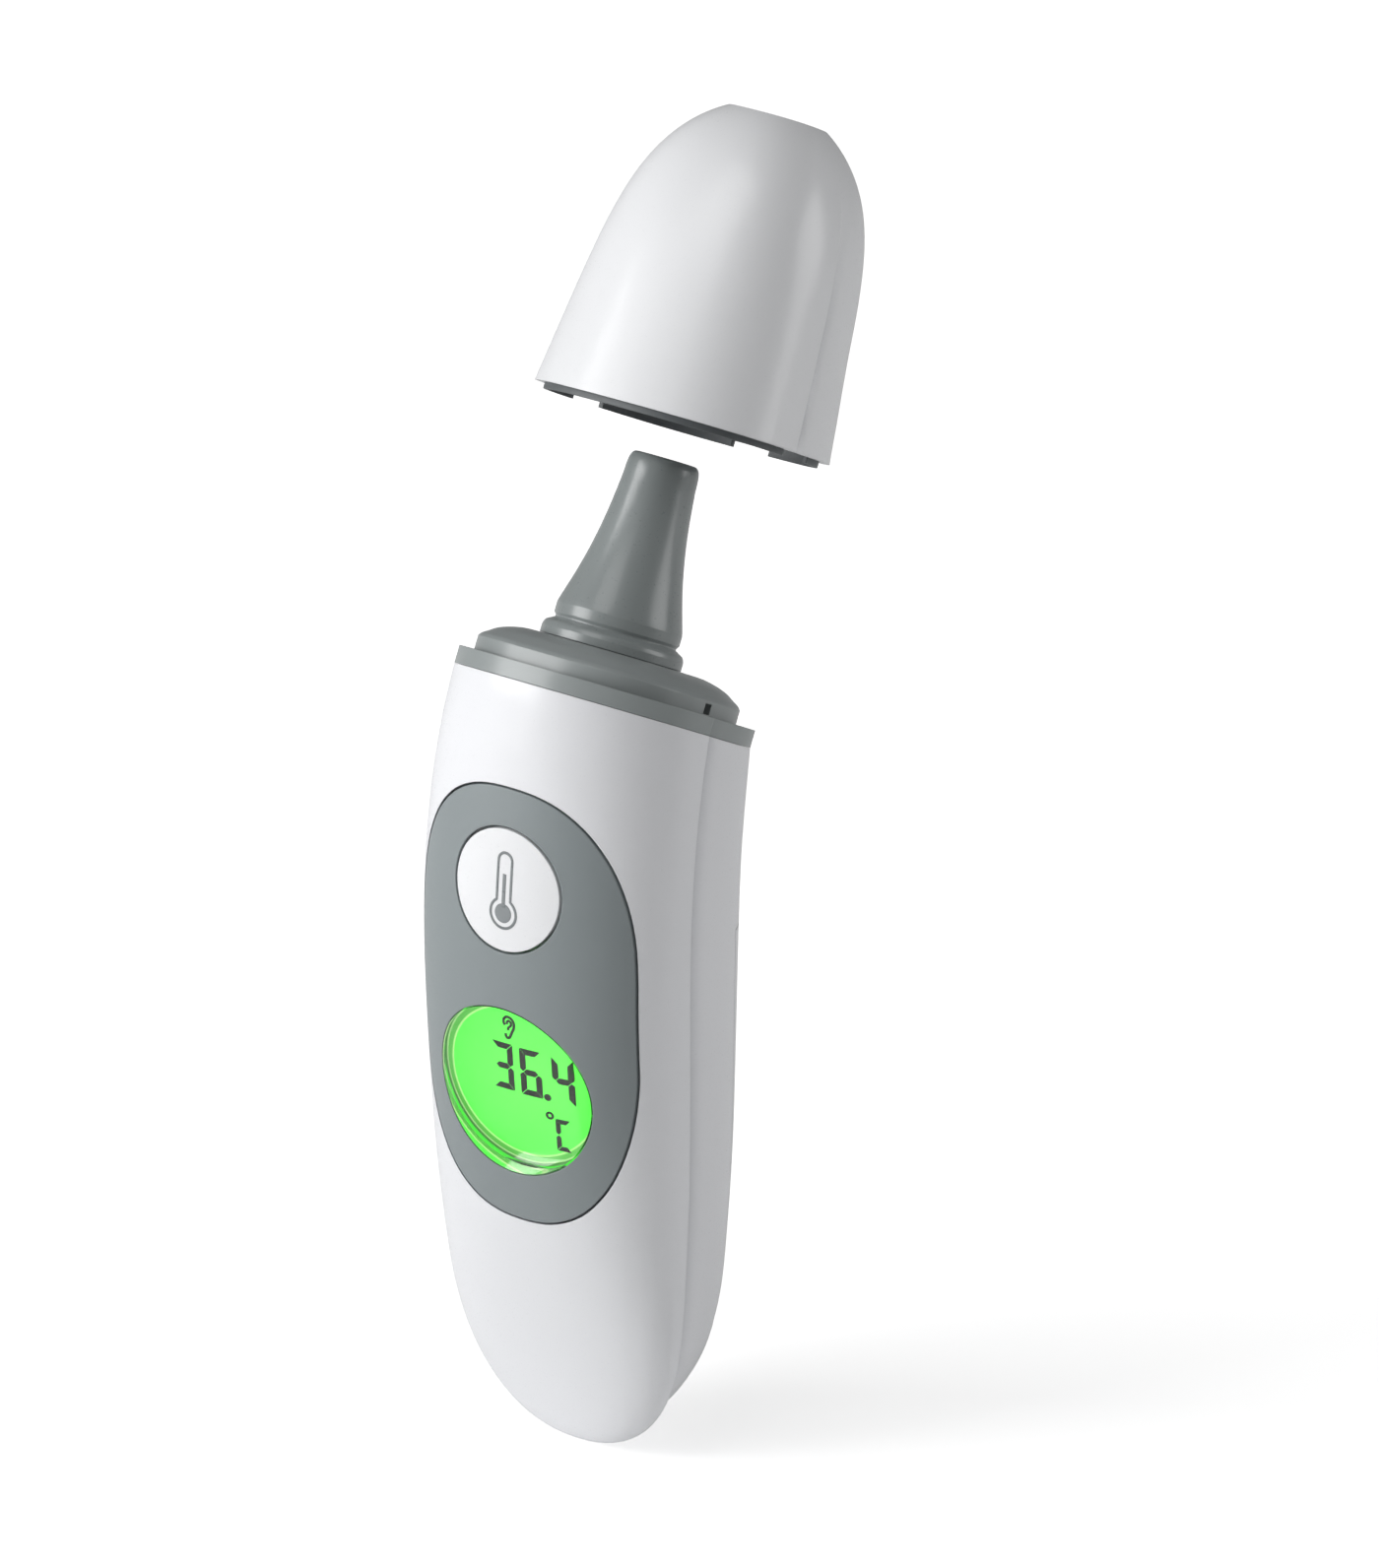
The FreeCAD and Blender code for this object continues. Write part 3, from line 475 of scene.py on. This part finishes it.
def add_display_marks():
    outlines = []
    for sign in SIGNS[:3]:
        outlines += sign_segments(*sign)
    outlines += [disc(3.55, -1.4, 0.5)]  # decimal point
    outlines += stroke(disc(3.68, -4.05, 0.42, 24), 0.16, closed=True)  # degree ring
    outlines += sign_segments(*SIGNS[3])
    outlines += ear_line(EAR_OUTER, 0.18)
    outlines += ear_line(EAR_INNER, 0.16)
    add_plates("lcd_segments", outlines, BLACK, "handle", on_display,
               MARK_BOTTOM, SEGMENT_TOP)


def add_reflection_ring(name, inner, outer, top, material, steps=96):
    """Ring of rectangular section around the display's normal, carrying a painted reflection.
    """
    section = [(inner, MARK_BOTTOM), (outer, MARK_BOTTOM), (outer, top), (inner, top)]
    verts, faces = [], []
    for i in range(steps):
        angle = 2 * math.pi * i / steps
        verts += [on_display(r * math.cos(angle), r * math.sin(angle), z) for r, z in section]
        j = (i + 1) % steps
        for k in range(4):
            m = (k + 1) % 4
            faces.append([4 * i + k, 4 * j + k, 4 * j + m, 4 * i + m])
    add_mesh(name, verts, faces, material, "handle")


add_display_marks()
# the painted reflection rings in the lens well
for reflection_ring_name, inner, outer, top, material_name, rgb, strength in PAINTED_REFLECTION_RINGS:
    add_reflection_ring(reflection_ring_name, inner, outer, top, painted_reflection_glow(material_name, rgb, strength))

# ---- thermometer mark on the button ---------------------------------------------
# the handle's front surface, top to bottom: z, half width, y at the sides, y at the middle
FRONT_STATIONS = [
    (36.0, 17.61, 26.37, 7.40), (30.0, 18.46, 22.85, 5.40), (24.0, 19.11, 19.95, 3.73),
    (18.0, 19.60, 17.63, 2.36), (12.0, 19.94, 15.85, 1.27), (6.0, 20.16, 14.57, 0.43),
    (0.0, 20.29, 13.74, -0.18), (-8.0, 20.33, 13.22, -0.65), (-16.0, 20.27, 13.18, -0.73),
    (-24.0, 20.16, 13.33, -0.36), (-32.0, 20.09, 13.41, 0.48), (-40.0, 20.01, 13.42, 1.66),
    (-48.0, 19.75, 13.45, 3.07), (-55.0, 19.35, 13.50, 4.56), (-61.0, 18.91, 13.59, 6.02),
    (-66.0, 18.26, 13.79, 7.32), (-70.0, 17.39, 14.09, 8.43), (-73.5, 16.22, 14.42, 9.47),
    (-76.5, 14.77, 14.75, 10.43), (-79.0, 13.10, 15.03, 11.31),
]
FRONT_POWER = 2.18  # superellipse exponent of the front's cross-section

STEM_TOP = 5.2
STEM_RADIUS = 1.1
BULB_RADIUS = 2.05
BULB_Y = -3.1
OUTLINE_HALF = 0.19
FLUID_RADIUS = 1.32
FLUID_HALF = 0.27
FLUID_LEVELS = (0.9, 3.0, 5.4)  # ends of the column's two parts above the bulb's centre


def natural_spline(xs, ys):
    count = len(xs)
    system = np.zeros((count, count))
    rhs = np.zeros(count)
    system[0, 0] = system[-1, -1] = 1
    h = np.diff(xs)
    slope = np.diff(ys) / h
    for i in range(1, count - 1):
        system[i, i - 1:i + 2] = h[i - 1], 2 * (h[i - 1] + h[i]), h[i]
        rhs[i] = 3 * (slope[i] - slope[i - 1])
    c = np.linalg.solve(system, rhs)

    def at(x):
        i = min(max(int(np.searchsorted(xs, x)) - 1, 0), count - 2)
        t = x - xs[i]
        linear_term = slope[i] - h[i] * (c[i + 1] + 2 * c[i]) / 3
        cubic_term = (c[i + 1] - c[i]) / (3 * h[i])
        return ys[i] + linear_term * t + c[i] * t * t + cubic_term * t ** 3
    return at


station_z, *station_columns = np.array(FRONT_STATIONS)[::-1].T
half_width_at, side_y_at, middle_y_at = [natural_spline(station_z, column)
                                         for column in station_columns]


def on_front(x, z, lift):
    """Row-frame point at x, z of the handle frame, lifted forward off the front."""
    side = side_y_at(z)
    across = abs(x) / half_width_at(z)
    bulge = (1 - across ** FRONT_POWER) ** (1 / FRONT_POWER)
    return to_row((x, side - (side - middle_y_at(z)) * bulge - lift, z))


def add_button_mark():
    neck_angle = math.asin(STEM_RADIUS / BULB_RADIUS)
    neck = BULB_Y + BULB_RADIUS * math.cos(neck_angle)
    shoulder = STEM_TOP - STEM_RADIUS
    side = [shoulder - (shoulder - neck) * k / 10 for k in range(1, 10)]
    outline = arc(0, shoulder, STEM_RADIUS, 0, math.pi, 16)
    outline += [(-STEM_RADIUS, y) for y in side]
    outline += arc(0, BULB_Y, BULB_RADIUS, math.pi / 2 + neck_angle,
                   2 * math.pi - 2 * neck_angle, 48)
    outline += [(STEM_RADIUS, y) for y in reversed(side)]
    outlines = stroke(outline, OUTLINE_HALF, closed=True)
    outlines += [disc(0, BULB_Y, FLUID_RADIUS, 40)]
    for low, high in zip(FLUID_LEVELS, FLUID_LEVELS[1:]):
        outlines += [[(-FLUID_HALF, BULB_Y + low), (FLUID_HALF, BULB_Y + low),
                      (FLUID_HALF, BULB_Y + high), (-FLUID_HALF, BULB_Y + high)]]
    add_plates("button_mark", outlines, INK, "button", on_front, 0.002, 0.03)


add_button_mark()

# ---- floor, world, lights, camera -----------------------------------------------
FLOOR_SIZE = 8.0
FLOOR_CLEARANCE = 0.0006
CAMERA_AZIMUTH = math.radians(36.4)  # from -Y towards +X
CAMERA_ELEVATION = math.radians(23.2)
CAMERA_DISTANCE = 1.6
FRAME_WIDTH_TO_HEIGHT = 1.0181818  # frame width over the object's height in view
AIM_SHIFT_RIGHT, AIM_SHIFT_UP = 0.006, -0.0005
SENSOR_WIDTH = 36


def add_floor():
    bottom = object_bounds()[0][2]
    bpy.ops.mesh.primitive_plane_add(size=FLOOR_SIZE, location=(0, 0, bottom - FLOOR_CLEARANCE))
    floor = bpy.context.object
    floor.name = "floor"
    floor.data.materials.append(floor_material())


def add_world():
    """White backdrop for the camera, dim white light for everything else."""
    world = bpy.data.worlds.new("studio")
    bpy.context.scene.world = world
    world.use_nodes = True
    tree = world.node_tree
    ambient = tree.nodes["Background"]
    feed(tree, ambient, {0: (1, 1, 1, 1), 1: 0.13})
    light_path = add_node(tree, "ShaderNodeLightPath")
    backdrop = add_node(tree, "ShaderNodeBackground", {0: (1, 1, 1, 1), 1: 1.0})
    mixed = add_node(tree, "ShaderNodeMixShader", {
        0: light_path.outputs["Is Camera Ray"], 1: ambient.outputs[0], 2: backdrop.outputs[0]})
    feed(tree, tree.nodes["World Output"], {0: mixed.outputs[0]})


def add_light(name, location, size, power):
    """Square area light aimed at the origin."""
    light = bpy.data.lights.new(name, "AREA")
    light.energy = power
    light.size = size
    obj = bpy.data.objects.new(name, light)
    bpy.context.scene.collection.objects.link(obj)
    obj.location = location
    obj.rotation_euler = (-Vector(location)).to_track_quat("-Z", "Y").to_euler()


def add_camera():
    """Long lens, framed on the shells and the cap as seen from the camera."""
    level = math.cos(CAMERA_ELEVATION)
    backward = Vector((math.sin(CAMERA_AZIMUTH) * level, -math.cos(CAMERA_AZIMUTH) * level,
                       math.sin(CAMERA_ELEVATION)))
    right = Vector((math.cos(CAMERA_AZIMUTH), math.sin(CAMERA_AZIMUTH), 0))
    up = right.cross(-backward).normalized()
    points = [v.co for name in ("front_shell", "cap_shell", "rear_shell")
              for v in PIECES[name].data.vertices]
    across = [p.dot(right) for p in points]
    heights = [p.dot(up) for p in points]
    low, high = min(heights), max(heights)

    data = bpy.data.cameras.new("camera")
    camera = bpy.data.objects.new("camera", data)
    bpy.context.scene.collection.objects.link(camera)
    bpy.context.scene.camera = camera
    data.sensor_fit = "HORIZONTAL"
    data.sensor_width = SENSOR_WIDTH
    data.lens = SENSOR_WIDTH * CAMERA_DISTANCE / ((high - low) * FRAME_WIDTH_TO_HEIGHT)
    data.clip_start, data.clip_end = 0.05, 50
    aim = (right * ((min(across) + max(across)) / 2 + AIM_SHIFT_RIGHT)
           + up * ((low + high) / 2 + AIM_SHIFT_UP))
    camera.location = aim + backward * CAMERA_DISTANCE
    camera.rotation_euler = (-backward).to_track_quat("-Z", "Y").to_euler()


add_floor()
add_world()
add_light("key", (-0.72, -0.8, 0.35), size=0.7, power=10.0)
add_light("top", (-0.1, -0.4, 0.95), size=0.6, power=2.6)
add_light("fill", (0.95, 0.6, 0.3), size=0.6, power=3.2)
add_camera()
bpy.context.scene.view_settings.view_transform = "Standard"
